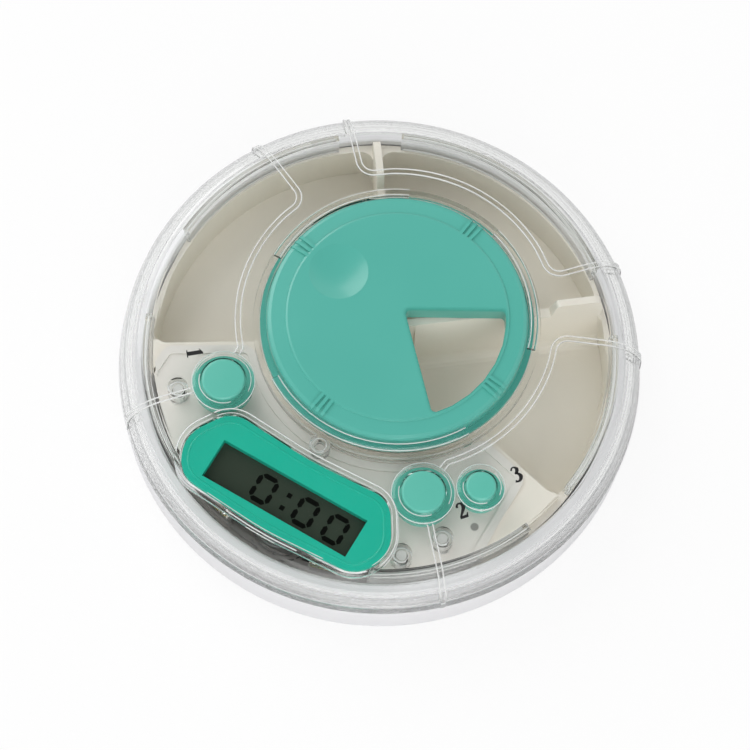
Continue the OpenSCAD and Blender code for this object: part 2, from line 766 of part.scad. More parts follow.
base_shell();
compartment_tray();
clear_cover();
dial_retaining_ring();
selector_dial();
display_bezel();
lcd_glass();
lcd_connector_strips();
button_cap_left();
button_cap_right();
button_cap_small();
contact_puck_left();
contact_puck_right();
contact_puck_small();
button_domes();
module_plate();
circuit_board();
controller_chip();
quartz_crystal();
piezo_buzzer();
button_cell();
cell_holder();
cell_contact_top();
cell_contact_side();
module_back();
battery_door();
battery_door_seal();
module_screws();
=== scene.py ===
import bpy
import math
import numpy as np
from mathutils import Matrix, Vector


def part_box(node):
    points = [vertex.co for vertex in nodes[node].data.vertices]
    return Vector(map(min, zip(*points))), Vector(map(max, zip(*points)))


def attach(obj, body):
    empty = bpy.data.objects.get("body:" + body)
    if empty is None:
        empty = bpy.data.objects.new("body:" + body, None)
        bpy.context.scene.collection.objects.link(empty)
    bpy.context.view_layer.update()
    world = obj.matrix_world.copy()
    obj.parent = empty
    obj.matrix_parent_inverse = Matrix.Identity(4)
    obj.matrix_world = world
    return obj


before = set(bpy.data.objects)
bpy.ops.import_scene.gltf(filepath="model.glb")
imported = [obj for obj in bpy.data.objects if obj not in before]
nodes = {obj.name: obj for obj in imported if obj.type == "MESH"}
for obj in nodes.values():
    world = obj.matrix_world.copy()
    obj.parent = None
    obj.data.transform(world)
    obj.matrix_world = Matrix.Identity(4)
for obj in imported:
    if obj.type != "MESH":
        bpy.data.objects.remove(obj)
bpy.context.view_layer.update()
scene = bpy.context.scene

# Sizes of the object, in millimetres and degrees as in the part's source. The scene is in metres.

MM = 0.001
LID_TOP = 19.2
BEZEL_TOP = 18.7
DISPLAY_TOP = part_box("lcd_glass")[1].z / MM

# The lid's round shoulder: its radius, and the height of its centre and how far out that lies. The painted
#  white highlights along the beads end at the radius BEAD_END.
SHOULDER_R, SHOULDER_Z, SHOULDER_AT = 6.5, 12.7, 39.0
BEAD_END = 45.85

# Outer radius of the lid's locating skirts, and the angles between which they stand
SKIRT_R = 41.15
SKIRTS = ((52, 115), (131, 178), (-8, 34), (-63, -22), (202, 243))

# Middle of the dial, the radii and lifts of the two edges of its broken collar, and the collar's angles
DIAL_X, DIAL_Y = 0.0, 5.5
DIAL_COLLAR = ((23.35, 0.74), (24.5, 0.52))
DIAL_COLLAR_ARCS = ((16.5, 73.5), (115, 182), (238.5, 330))

# Buttons: middle, radius of the cap and outer radius of the collar
BUTTONS = ((-19.8, -20, 3.75, 5.5), (19.8, -20, 3.75, 5.5), (27.7, -14.1, 2.6, 4.2))

# Numbers beside the buttons: middle and turn in radians, and the height of all
NUMBERS = {"1": (-26.8, -18.0, -0.86), "2": (26.9, -19.2, 0.89), "3": (31.7, -8.8, 0.93)}
NUMBER_TALL = 2.85

# Screw posts of the lid, and last the peg between them: middle and height of the foot
POSTS = ((-26.3, -24.5, 13.75), (26.3, -24.5, 13.75), (21.8, -30.6, 13.75), (0, -20.9, 14.3))

# Corners of the display's surround, and the radius that rounds each of them
SURROUND = ((-15.6, -23.8), (0, -24.7), (15.6, -23.8), (20.4, -31.6),
            (17.6, -38.1), (0, -39.3), (-17.6, -38.1), (-20.4, -31.6))
SURROUND_RADII = (5, 60, 5, 6.2, 5.4, 60, 5.4, 6.2)

# Contact tails: angle round the middle of the box, width, and radius of the solder on them
TAILS = ((-104.8, 1.1, 0.5), (-102.5, 1.2, 0.55), (-76.4, 1.2, 0.55), (-74.6, 0.9, 0.45), (-72.6, 1.0, 0.5))


# Camera, lamps and the pale room

def stand(obj, x, y, z, place):
    """Moves a camera or lamp to place, with its own axes along x, y and z, which are the columns of its matrix."""
    turn = Matrix.Identity(4)
    for i in range(3):
        turn[i][0], turn[i][1], turn[i][2], turn[i][3] = x[i], y[i], z[i], place[i]
    obj.matrix_world = turn
    scene.collection.objects.link(obj)


def camera():
    """A long lens 450 mm from the box at azimuth 26 and elevation 69 degrees, rolled 4.5 degrees. Back is the
    unit vector from the box to it, right is level and square to back, and the roll turns right towards up. Its
    focal length and shift were fitted in pixels of a square frame."""
    azimuth, elevation, roll = math.radians(26), math.radians(68.92), math.radians(4.53)
    far, aim_height = 0.450, 0.012
    frame_pixels, focal_pixels, shift_pixels = 750, 2559.0, (-5.26, -16.29)
    flat = math.cos(elevation)
    back = np.array([math.sin(azimuth) * flat, -math.cos(azimuth) * flat, math.sin(elevation)])
    right = np.array([math.cos(azimuth), math.sin(azimuth), 0])
    up = np.cross(back, right)
    data = bpy.data.cameras.new("camera")
    data.sensor_width = 36
    data.lens = focal_pixels / frame_pixels * 36
    data.shift_x, data.shift_y = shift_pixels[0] / frame_pixels, shift_pixels[1] / frame_pixels
    data.clip_start, data.clip_end = 0.01, 20
    obj = bpy.data.objects.new("camera", data)
    stand(obj, right * math.cos(roll) + up * math.sin(roll), up * math.cos(roll) - right * math.sin(roll), back,
          back * far + np.array([0, 0, aim_height]))
    scene.camera = obj


def lamp(name, place, size, watts):
    """A square soft box that faces a point in the box, 10 mm up: its z axis runs from there to its place."""
    aim = np.array([0, 0, 0.01])
    data = bpy.data.lights.new(name, "AREA")
    data.size, data.energy = size, watts
    place = np.array(place)
    z = place - aim
    z = z / np.linalg.norm(z)
    x = np.cross([0, 1, 0.01], z)
    x /= np.linalg.norm(x)
    stand(bpy.data.objects.new(name, data), x, np.cross(z, x), z, place)


def add(tree, kind, inputs=None, **settings):
    """A new node with these settings. An input is linked where its value is a socket, and set where it is not."""
    node = tree.nodes.new(kind)
    for name, value in settings.items():
        setattr(node, name, value)
    for key, value in (inputs or {}).items():
        if isinstance(value, bpy.types.NodeSocket):
            tree.links.new(value, node.inputs[key])
        else:
            node.inputs[key].default_value = value
    return node


def maths(tree, operation, *values):
    """Output of a Math node; values are numbers or sockets."""
    return add(tree, "ShaderNodeMath", dict(enumerate(values)), operation=operation).outputs[0]


def spread_over(tree, value, start, end, low=0.0, high=1.0, **settings):
    """Output of a Map Range node: low at start and high at end, in a straight line between and level beyond."""
    inputs = {"Value": value, "From Min": start, "From Max": end, "To Min": low, "To Max": high}
    return add(tree, "ShaderNodeMapRange", inputs, **settings).outputs[0]


def blend(tree, factor, first, second, blend_type="MIX"):
    """Output of a Mix node for colours: first at factor 0 and second at 1, or first times second to MULTIPLY."""
    inputs = {"Factor": factor, "A": first, "B": second}
    return add(tree, "ShaderNodeMix", inputs, data_type="RGBA", blend_type=blend_type).outputs["Result"]


def blend_shaders(tree, factor, first, second):
    """Output of a Mix Shader node: first at factor 0 and second at 1."""
    return add(tree, "ShaderNodeMixShader", {0: factor, 1: first, 2: second}).outputs[0]


def object_place(tree):
    """Place on the object, in its own metres."""
    return add(tree, "ShaderNodeTexCoord").outputs["Object"]


def plan_of(tree, place):
    """A place seen from above: its coordinates times 1, 1 and 0."""
    return add(tree, "ShaderNodeVectorMath", {0: place, 1: (1, 1, 0)}, operation="MULTIPLY").outputs[0]


def raised(tree, height, depth, **more):
    """Normal of a Bump node whose height reaches depth, in millimetres."""
    return add(tree, "ShaderNodeBump", {"Height": height, "Distance": depth * MM, **more}).outputs[0]


def new_material(name):
    """An empty material, its node tree and its output node."""
    material = bpy.data.materials.new(name)
    material.use_nodes = True
    material.node_tree.nodes.clear()
    return material, material.node_tree, add(material.node_tree, "ShaderNodeOutputMaterial")


def surroundings():
    """White for the camera, even light for the finishes, and nearly white through glass. Mirrored rays see a ring
    of soft boxes at middle height under a dark ceiling, which the lid's flat top then mirrors; low down, the
    ring is bright at the front and dark at the back. The light is strength times a mix of the even level, which
    is higher through glass, and the ring, whose share is 1 for mirrored rays and ring_in_glass through glass."""
    strength, even_level, more_in_glass, ring_in_glass = 0.78, 0.76, 0.5, 0.3
    room = bpy.data.worlds.new("room")
    room.use_nodes = True
    scene.world = room
    tree = room.node_tree
    tree.nodes.clear()
    out = add(tree, "ShaderNodeOutputWorld")
    split = add(tree, "ShaderNodeSeparateXYZ", {0: add(tree, "ShaderNodeTexCoord").outputs["Generated"]})
    front = [(0.0, 0.85), (0.25, 1.0), (0.74, 1.0), (0.87, 0.05), (1.0, 0.03)]
    back = [(0.0, 0.05), (0.22, 0.12), (0.42, 0.95), (0.74, 1.0), (0.87, 0.05), (1.0, 0.03)]
    rings = []
    for stops in (front, back):
        ring = add(tree, "ShaderNodeValToRGB", {"Fac": split.outputs["Z"]})
        while len(ring.color_ramp.elements) < len(stops):
            ring.color_ramp.elements.new(0.5)
        for stop, (height, level) in zip(ring.color_ramp.elements, stops):
            stop.position, stop.color = height, (level, level * 0.99, level * 0.98, 1)
        rings.append(ring.outputs["Color"])
    boxes = blend(tree, spread_over(tree, split.outputs["Y"], -0.5, 0.4), *rings)
    path = add(tree, "ShaderNodeLightPath")
    glass = path.outputs["Is Transmission Ray"]
    even = maths(tree, "MULTIPLY_ADD", glass, more_in_glass, even_level)
    mirror = maths(tree, "MAXIMUM", path.outputs["Is Glossy Ray"], maths(tree, "MULTIPLY", glass, ring_in_glass))
    light = add(tree, "ShaderNodeBackground", {"Color": blend(tree, mirror, even, boxes), "Strength": strength})
    white = add(tree, "ShaderNodeBackground", {"Color": (1, 1, 1, 1)})
    seen = blend_shaders(tree, path.outputs["Is Camera Ray"], light.outputs[0], white.outputs[0])
    tree.links.new(seen, out.inputs["Surface"])


def room_floor():
    """A pale floor that keeps the shadow: white glow is mixed in by to_camera for the camera and by in_glass for
    what is seen through glass, whichever is more."""
    half, to_camera, in_glass = 1.6, 0.85, 0.25
    mesh = bpy.data.meshes.new("floor")
    mesh.from_pydata([(-half, -half, 0), (half, -half, 0), (half, half, 0), (-half, half, 0)], [], [(0, 1, 2, 3)])
    floor = bpy.data.objects.new("floor", mesh)
    scene.collection.objects.link(floor)
    material, tree, out = new_material("pale floor")
    surface = add(tree, "ShaderNodeBsdfPrincipled", {"Roughness": 0.9, "Base Color": (0.93, 0.93, 0.93, 1)})
    bright = add(tree, "ShaderNodeEmission", {"Strength": 1})
    path = add(tree, "ShaderNodeLightPath")
    share = maths(tree, "MAXIMUM", maths(tree, "MULTIPLY", path.outputs["Is Camera Ray"], to_camera),
                  maths(tree, "MULTIPLY", path.outputs["Is Transmission Ray"], in_glass))
    tree.links.new(blend_shaders(tree, share, surface.outputs[0], bright.outputs[0]), out.inputs["Surface"])
    floor.data.materials.append(material)


# The shader group that the finishes share

def make_moulded_grain():
    """Spark-eroded grain over slow flow marks, from two noises. A fine one, whose period is Grain Size in
    millimetres, is the height. A slow one, with a period of 18 mm, takes the shade from 1 - Shade to 1 and the
    roughness from Roughness to Roughness + Spread."""
    tree = bpy.data.node_groups.new("moulded grain", "ShaderNodeTree")
    for label, value in (("Grain Size", 0.25), ("Shade", 0.02), ("Roughness", 0.35), ("Spread", 0.06)):
        tree.interface.new_socket(label, in_out="INPUT", socket_type="NodeSocketFloat").default_value = value
    for label in ("Shade", "Roughness", "Height"):
        tree.interface.new_socket(label, in_out="OUTPUT", socket_type="NodeSocketFloat")
    start = add(tree, "NodeGroupInput").outputs
    place = object_place(tree)
    scale = maths(tree, "DIVIDE", 1 / MM, start["Grain Size"])
    fine = add(tree, "ShaderNodeTexNoise", {"Vector": place, "Scale": scale, "Detail": 3.0}).outputs["Fac"]
    slow = add(tree, "ShaderNodeTexNoise", {"Vector": place, "Scale": 55.0, "Detail": 2.0}).outputs["Fac"]
    darkest = maths(tree, "SUBTRACT", 1, start["Shade"])
    roughest = maths(tree, "ADD", start["Roughness"], start["Spread"])
    add(tree, "NodeGroupOutput", {
        "Shade": spread_over(tree, slow, 0.3, 0.7, darkest, 1),
        "Roughness": spread_over(tree, slow, 0.3, 0.7, start["Roughness"], roughest),
        "Height": fine})
    return tree


GRAIN = make_moulded_grain()


def moulded(tree, size, roughness, spread, shade=0.02):
    """Outputs of the moulded grain, set for one finish."""
    inputs = {"Grain Size": size, "Roughness": roughness, "Spread": spread, "Shade": shade}
    return add(tree, "ShaderNodeGroup", inputs, node_tree=GRAIN).outputs


# Finishes

def plastic(name, colour, roughness=0.35, grain=0.25, depth=0.004, shade=0.03, coat=0.0, gloss=0.5, subsurface=0.0):
    """Moulded plastic: its colour shaded by slow flow marks, and a fine grain of that size and depth raised by
    Bump. Light runs on for one millimetre under the skin where subsurface is given."""
    material, tree, out = new_material(name)
    spread = 0.06
    grit = moulded(tree, grain, roughness, spread, shade)
    inputs = {
        "Base Color": blend(tree, 1, (*colour, 1), grit["Shade"], "MULTIPLY"), "Roughness": grit["Roughness"],
        "Normal": raised(tree, grit["Height"], depth), "IOR": 1.49, "Specular IOR Level": gloss,
        "Coat Weight": coat, "Coat Roughness": 0.15}
    if subsurface:
        inputs.update({"Subsurface Weight": subsurface, "Subsurface Radius": (MM, MM, MM), "Subsurface Scale": 1.0})
    surface = add(tree, "ShaderNodeBsdfPrincipled", inputs)
    tree.links.new(surface.outputs[0], out.inputs["Surface"])
    return material


def clear_plastic():
    """Clear polystyrene: glass that lets lamps through, faintly wavy from moulding. Its rim is finely frosted: a
    mask that rises between two radii, times a sharpened noise, adds to the roughness and raises specks."""
    rim_start, rim_end, frost_rough = 41.6 * MM, 43.2 * MM, 0.22
    material, tree, out = new_material("clear polystyrene")
    wave = moulded(tree, 14, 0.0, 0.012)
    place = object_place(tree)
    reach = add(tree, "ShaderNodeVectorMath", {0: plan_of(tree, place)}, operation="LENGTH").outputs["Value"]
    rim = spread_over(tree, reach, rim_start, rim_end)
    speck = add(tree, "ShaderNodeTexNoise", {"Vector": place, "Scale": 3000.0, "Detail": 3.0})
    frost = maths(tree, "MULTIPLY", rim, spread_over(tree, speck.outputs["Fac"], 0.42, 0.62))
    waves = raised(tree, wave["Height"], 0.02)
    surface = add(tree, "ShaderNodeBsdfPrincipled", {
        "Base Color": (0.985, 0.99, 0.99, 1), "Transmission Weight": 1, "IOR": 1.5,
        "Roughness": maths(tree, "MULTIPLY_ADD", frost, frost_rough, wave["Roughness"]),
        "Normal": raised(tree, frost, 0.014, Strength=0.5, Normal=waves)})
    through = add(tree, "ShaderNodeBsdfTransparent", {"Color": (1, 1, 1, 1)})
    path = add(tree, "ShaderNodeLightPath")
    either = maths(tree, "MAXIMUM", path.outputs["Is Shadow Ray"], path.outputs["Is Diffuse Ray"])
    tree.links.new(blend_shaders(tree, either, surface.outputs[0], through.outputs[0]), out.inputs["Surface"])
    thick = add(tree, "ShaderNodeVolumeAbsorption", {"Color": (0.62, 0.65, 0.59, 1), "Density": 32})
    tree.links.new(thick.outputs[0], out.inputs["Volume"])
    return material


def edge_highlight_finish():
    """Painted highlight for the rounded edges of clear plastic, which gather light and look white: pale white
    plastic whose opacity the slow noise of the moulded grain takes from 0.35 to 0.85."""
    material, tree, out = new_material("painted edge highlight")
    surface = add(tree, "ShaderNodeBsdfPrincipled", {
        "Roughness": 0.12, "Base Color": (0.90, 0.91, 0.90, 1), "IOR": 1.5,
        "Alpha": moulded(tree, 2.0, 0.35, 0.5)["Roughness"]})
    tree.links.new(surface.outputs[0], out.inputs["Surface"])
    return material


def metal(name, colour, roughness=0.28):
    """Plated metal: a noise whose scale is 25 times smaller along X gives fine rolled lines, which take the
    roughness from 0.08 below its value to 0.12 above and are the height."""
    material, tree, out = new_material(name)
    along_x, over_x = 36.0, 900.0
    drawn = add(tree, "ShaderNodeMapping", {"Vector": object_place(tree), "Scale": (along_x, over_x, over_x)})
    noise = {"Vector": drawn.outputs[0], "Scale": 1.0, "Detail": 2.0}
    scratch = add(tree, "ShaderNodeTexNoise", noise).outputs["Fac"]
    surface = add(tree, "ShaderNodeBsdfPrincipled", {
        "Metallic": 1, "Base Color": (*colour, 1),
        "Roughness": spread_over(tree, scratch, 0, 1, roughness - 0.08, roughness + 0.12),
        "Normal": raised(tree, scratch, 0.004)})
    tree.links.new(surface.outputs[0], out.inputs["Surface"])
    return material


def plate_pin_mark_and_shade(material):
    """Adds to a plastic a grey pin mark beside the small button, and painted shade that darkens the plate towards a
    point at its middle, between the dial and the display's surround: each is a tone at a point, which fades to 1
    between two distances from it."""
    tree = material.node_tree
    surface = next(n for n in tree.nodes if n.type == "BSDF_PRINCIPLED")
    colour = surface.inputs["Base Color"].links[0].from_socket
    plan = plan_of(tree, object_place(tree))
    # First the grey pin mark, then the painted shade with its wide fade
    for x, y, near, far, tone in ((29.7, -19.1, 0.55, 0.85, 0.42), (0.0, -23.4, 0.4, 7.0, 0.88)):
        gap = add(tree, "ShaderNodeVectorMath", {0: plan, 1: (x * MM, y * MM, 0)}, operation="DISTANCE")
        mask = spread_over(tree, gap.outputs["Value"], near * MM, far * MM, tone, 1.0,
                           interpolation_type="SMOOTHSTEP")
        colour = blend(tree, 1, colour, mask, "MULTIPLY")
    tree.links.new(colour, surface.inputs["Base Color"])


def display_face():
    """Dark reflective display whose colour is mixed from two greenish greys by a fine noise."""
    material, tree, out = new_material("display")
    dust = add(tree, "ShaderNodeTexNoise", {"Vector": object_place(tree), "Scale": 5200.0, "Detail": 2.0})
    surface = add(tree, "ShaderNodeBsdfPrincipled", {
        "Roughness": 0.12, "IOR": 1.5,
        "Base Color": blend(tree, dust.outputs["Fac"], (0.032, 0.045, 0.032, 1), (0.046, 0.063, 0.046, 1))})
    tree.links.new(surface.outputs[0], out.inputs["Surface"])
    return material


def board_finish():
    """Green solder mask over copper tracks: sharpened bands of a distorted wave lighten and raise it."""
    material, tree, out = new_material("board")
    wave = {"Vector": object_place(tree), "Scale": 260.0, "Distortion": 3.0, "Detail": 1.0}
    track = spread_over(tree, add(tree, "ShaderNodeTexWave", wave).outputs["Fac"], 0.62, 0.70)
    surface = add(tree, "ShaderNodeBsdfPrincipled", {
        "Roughness": 0.3, "Base Color": blend(tree, track, (0.015, 0.10, 0.035, 1), (0.035, 0.19, 0.065, 1)),
        "Normal": raised(tree, track, 0.03)})
    tree.links.new(surface.outputs[0], out.inputs["Surface"])
    return material


def dress(material, *names):
    """Gives one material to nodes of the part."""
    for name in names:
        nodes[name].data.materials.clear()
        nodes[name].data.materials.append(material)


# Meshes: points in millimetres, quads as an array of four indices a row, and caps as lists of indices

def mesh_piece(name, body, material, shape, smooth=False):
    """An object at the origin from a shape's points, quads and caps, which rides on a body."""
    points, quads, caps = shape
    mesh = bpy.data.meshes.new(name)
    mesh.from_pydata((points * MM).tolist(), [], quads.tolist() + caps)
    mesh.update()
    if smooth:
        mesh.shade_smooth()
    obj = bpy.data.objects.new(name, mesh)
    scene.collection.objects.link(obj)
    mesh.materials.append(material)
    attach(obj, body)


def join(shapes):
    """One shape from several: the indices of each are raised by the number of points before it."""
    starts = np.cumsum([0] + [len(points) for points, _, _ in shapes])[:-1]
    return (np.concatenate([points for points, _, _ in shapes]),
            np.concatenate([quads + start for (_, quads, _), start in zip(shapes, starts)]),
            [(np.array(cap) + start).tolist() for (_, _, caps), start in zip(shapes, starts) for cap in caps])


def at_height(line, height):
    """A plan line as a path at one height."""
    return np.c_[line, np.full(len(line), height)]


def left_normals(line, closed=False):
    """Unit vectors along a plan line, turned left by a right angle; a closed line runs on round its end."""
    along = np.roll(line, -1, axis=0) - np.roll(line, 1, axis=0) if closed else np.gradient(line, axis=0)
    along /= np.linalg.norm(along, axis=1)[:, None]
    return np.c_[-along[:, 1], along[:, 0]]


# Order of the corners of a quad that is turned over
TURNED = [0, 3, 2, 1]


def grid_quads(rows, columns, closed_rows=False):
    """Quads between the points of a grid, where point j of row i has the index i times columns plus j. The last
    point of a row is followed by its first, and the last row by the first one where closed_rows is set."""
    i, j = np.meshgrid(np.arange(rows if closed_rows else rows - 1), np.arange(columns), indexing="ij")
    k, m = (i + 1) % rows * columns, (j + 1) % columns
    return np.stack([i * columns + j, k + j, k + m, i * columns + m], axis=-1).reshape(-1, 4)


def resample(path, step=0.35):
    """The path with points a step apart, at least 8: each coordinate is interpolated over the length along it."""
    path = np.asarray(path, float)
    at = np.r_[0, np.cumsum(np.linalg.norm(np.diff(path, axis=0), axis=1))]
    t = np.linspace(0, at[-1], max(int(at[-1] / step), 8))
    return np.c_[tuple(np.interp(t, at, path[:, k]) for k in range(path.shape[1]))]


def ring_path(x, y, radius, height, first=0.0, last=360.0):
    """Arc round x, y at one height from the first angle to the last, with a point about every four degrees."""
    t = np.radians(np.linspace(first, last, max(int(abs(last - first) / 4), 10)))
    return at_height(np.c_[x + radius * np.cos(t), y + radius * np.sin(t)], height)


def fillet(a, b, c, radius):
    """Ten points of the arc that rounds corner b between a and c. Its centre lies on the bisector, at the radius
    over the sine of half the corner's angle; its ends lie on the sides, at the radius over that half's tangent."""
    a, b, c = (np.asarray(p, float).ravel() for p in (a, b, c))
    u, w = (a - b) / np.linalg.norm(a - b), (c - b) / np.linalg.norm(c - b)
    half = math.acos(np.clip(u @ w, -1, 1)) / 2
    middle = b + (u + w) / np.linalg.norm(u + w) * radius / math.sin(half)
    p, q = b + u * radius / math.tan(half) - middle, b + w * radius / math.tan(half) - middle
    start = math.atan2(p[1], p[0])
    turn = (math.atan2(q[1], q[0]) - start + 3 * math.pi) % (2 * math.pi) - math.pi
    t = start + turn * np.linspace(0, 1, 10)
    return middle + radius * np.c_[np.cos(t), np.sin(t)]


def plates(outlines, low, high):
    """Flat plates: each outline, of anticlockwise points, drawn up from low to high and closed."""
    shapes = []
    for outline in outlines:
        outline = np.asarray(outline, float)
        n = len(outline)
        i = np.arange(n)
        quads = np.c_[i, (i + 1) % n, (i + 1) % n + n, i + n]
        points = np.r_[at_height(outline, low), at_height(outline, high)]
        shapes.append((points, quads, [(n + i).tolist(), i[::-1].tolist()]))
    return join(shapes)


def round_wire(path, radius, closed=False, sides=7):
    """Tube round a 3-D path: a circle of the radius in the plane across the path at each point, ends capped."""
    path = np.asarray(path, float)
    along = np.roll(path, -1, axis=0) - np.roll(path, 1, axis=0) if closed else np.gradient(path, axis=0)
    along /= np.linalg.norm(along, axis=1)[:, None] + 1e-12
    side = np.cross(along, [0, 0, 1.0])
    side /= np.linalg.norm(side, axis=1)[:, None] + 1e-9
    over = np.cross(side, along)
    t = (np.arange(sides) * 2 * math.pi / sides)[None, :, None]
    points = path[:, None, :] + radius * (np.cos(t) * side[:, None, :] + np.sin(t) * over[:, None, :])
    n = len(path)
    caps = [] if closed else [list(range(sides)), list(range(n * sides - 1, (n - 1) * sides - 1, -1))]
    return points.reshape(-1, 3), grid_quads(n, sides, closed), caps


# White wires along the clear lid's rounded edges: painted highlights where the edges would gather light

def highlight_piece(name, wires, material):
    """Painted highlight wires joined to one piece of the lid."""
    mesh_piece(name, "lid", material, join(wires), smooth=True)


def lid_height(x, y, lift):
    """Height of the lid's outside, grown by lift: flat inside the shoulder, then a quarter circle to the side."""
    out = np.clip(np.hypot(x, y) - SHOULDER_AT, 0, SHOULDER_R + lift)
    return SHOULDER_Z + np.sqrt((SHOULDER_R + lift) ** 2 - out ** 2)


def dial_polar(radius, degrees):
    """Plan points at a radius and angles round the middle of the dial."""
    a = np.radians(degrees)
    return np.c_[DIAL_X + radius * np.cos(a), DIAL_Y + radius * np.sin(a)]


def panel_paths():
    """Middle lines of the beads round the three clear panels, as the part's source draws them: arcs round the
    dial, with rounded corners to the lines that run out to the rim."""
    far, soft, near = 60.0, 2.6, 27.7
    rear_near = near + 0.4
    button_x, button_y = BUTTONS[1][:2]
    out = math.radians(-48)
    side = np.concatenate([
        dial_polar(far, [23.5]),
        fillet(dial_polar(far, 23.5), dial_polar(near, 23.5), dial_polar(near, 16), soft),
        dial_polar(near, np.linspace(15, -42, 60)),
        [(button_x, button_y), (button_x + 40 * math.cos(out), button_y + 40 * math.sin(out))]])
    rear = np.concatenate([
        dial_polar(far, [133]),
        fillet(dial_polar(far, 133), dial_polar(rear_near, 133), dial_polar(rear_near, 124), soft),
        dial_polar(rear_near, np.linspace(122, 58, 60)),
        fillet(dial_polar(rear_near, 56), dial_polar(rear_near, 47), dial_polar(far, 47), soft),
        dial_polar(far, [47])])
    return [side, side * (-1, 1), rear]


def bead_highlights(material):
    """Painted highlights: two white wires along each bead, on its middle line moved by half its width to either
    side, at the height of the lid grown by the bead's height. They end at the collars, at the raised window and at
    the rim."""
    bead_half, bead_tall, sink, rod, shortest = 0.45, 0.4, 0.06, 0.13, 6
    collar_inset, window_half, window_back, window_front = 0.2, 21.4, -22.4, -40
    wires = []
    for path in panel_paths():
        for distance in (-bead_half, bead_half):
            line = resample(path)
            line = line + left_normals(line) * distance
            free = np.hypot(line[:, 0], line[:, 1]) < BEAD_END
            for x, y, _, outer in BUTTONS:
                free &= np.hypot(line[:, 0] - x, line[:, 1] - y) > outer - collar_inset
            free &= ((np.abs(line[:, 0]) > window_half) | (line[:, 1] > window_back)
                     | (line[:, 1] < window_front))
            cuts = np.flatnonzero(np.diff(np.r_[0, free.astype(int), 0]))
            for a, b in cuts.reshape(-1, 2):
                if b - a > shortest:
                    part = line[a:b]
                    height = lid_height(part[:, 0], part[:, 1], bead_tall) - sink
                    wires.append(round_wire(np.c_[part, height], rod))
    highlight_piece("bead_highlights", wires, material)


def collar_highlights(material):
    """Painted highlights: white arcs on the edges of the dial's broken collar. On each button's collar, a ring at
    its foot, and two arcs on its upper edges where they catch the light."""
    wires = []
    for first, last in DIAL_COLLAR_ARCS:
        for radius, lift in DIAL_COLLAR:
            wires.append(round_wire(ring_path(DIAL_X, DIAL_Y, radius, LID_TOP + lift, first, last), 0.1))
    for x, y, inner, outer in BUTTONS:
        wires.append(round_wire(ring_path(x, y, outer - 0.12, LID_TOP + 0.5)[:-1], 0.10, closed=True))
        wires.append(round_wire(ring_path(x, y, inner + 0.42, LID_TOP + 0.84, 195, 320), 0.09))
        wires.append(round_wire(ring_path(x, y, outer - 0.75, LID_TOP + 0.86, 5, 75), 0.07))
    highlight_piece("collar_highlights", wires, material)


def display_outline(grow):
    """Outline of the display's surround: its corners are rounded by fillets, and every point is moved outward by
    grow along the left normal, as the line runs clockwise."""
    k = len(SURROUND)
    line = np.concatenate([fillet(SURROUND[i - 1], SURROUND[i], SURROUND[(i + 1) % k], SURROUND_RADII[i])
                           for i in range(k)])
    line = resample(np.r_[line, line[:1]], 0.5)[:-1]
    return line + left_normals(line, closed=True) * grow


def window_highlights(material):
    """Painted highlights: white wires along two top edges and the foot of the raised window over the display: its
    outline grown, at a lift above the lid's top, as far as it lies on the lid's flat."""
    flat_end = 40.4
    wires = []
    for grow, lift, rod in ((0.95, 1.0, 0.12), (0.2, 1.05, 0.07), (1.2, 0.1, 0.1)):
        line = display_outline(grow)
        inside = np.hypot(line[:, 0], line[:, 1]) < flat_end
        if inside.all():
            wires.append(round_wire(at_height(line, LID_TOP + lift), rod, closed=True))
            continue
        for a, b in np.flatnonzero(np.diff(np.r_[0, inside.astype(int), 0])).reshape(-1, 2):
            wires.append(round_wire(at_height(line[a:b], LID_TOP + lift), rod))
    highlight_piece("window_highlights", wires, material)


def post_highlights(material):
    """Painted highlights on the rims of the hollow posts and of the peg: on each a wide white ring at the foot and a
    narrow one 2.4 mm up, and an arc at z 17.2 where its side catches the light."""
    wires = []
    for x, y, foot in POSTS:
        wires.append(round_wire(ring_path(x, y, 1.72, foot + 0.05)[:-1], 0.09, closed=True))
        wires.append(round_wire(ring_path(x, y, 1.15, foot + 2.4)[:-1], 0.09, closed=True))
        wires.append(round_wire(ring_path(x, y, 1.5, 17.2, 200, 330), 0.12))
    highlight_piece("post_highlights", wires, material)


def skirt_highlights(material):
    """Painted highlights: white arcs round the middle of the box, just inside the plastic of each locating skirt,
    two at its lower edge and one higher up. They also paint over part of the dark band where the skirts are in
    shade."""
    wires = []
    for first, last in SKIRTS:
        t = np.radians(np.linspace(first + 0.5, last - 0.5, int((last - first) * 1.2)))
        for inset, height, rod in ((0.78, 12.72, 0.2), (0.3, 12.75, 0.2), (0.55, 16.4, 0.12)):
            line = (SKIRT_R - inset) * np.c_[np.cos(t), np.sin(t)]
            wires.append(round_wire(at_height(line, height), rod))
    highlight_piece("skirt_highlights", wires, material)


# Smaller pieces on the lid and the timer

def bezel_line(material):
    """Low rounded line on the display's surround: a wire along its outline drawn in, most of it sunk."""
    inset, sink, rod = 1.15, 0.26, 0.34
    wire = round_wire(at_height(display_outline(-inset), BEZEL_TOP - sink), rod, closed=True, sides=12)
    mesh_piece("bezel_line", "lid", material, wire, smooth=True)


def folded_strip(degrees, width, profile, thick):
    """A strip bent along a profile of radius and height, at an angle round the middle of the box: the bends are
    rounded by averaging three times, and the second face is moved by the thickness along the profile's normal."""
    profile = resample(profile, 0.12)
    for _ in range(3):
        profile[1:-1] = (profile[:-2] + 2 * profile[1:-1] + profile[2:]) / 4
    over = profile + left_normals(profile) * thick
    a = math.radians(degrees)
    out, side = np.array([math.cos(a), math.sin(a)]), np.array([-math.sin(a), math.cos(a)])
    corners = [np.c_[line[:, :1] * out + share * width * side, line[:, 1]]
               for line, share in ((profile, -0.5), (profile, 0.5), (over, 0.5), (over, -0.5))]
    n = len(profile)
    quads = grid_quads(n, 4)[:, TURNED]
    return np.stack(corners, axis=1).reshape(-1, 3), quads, [[3, 2, 1, 0], list(range(4 * n - 4, 4 * n))]


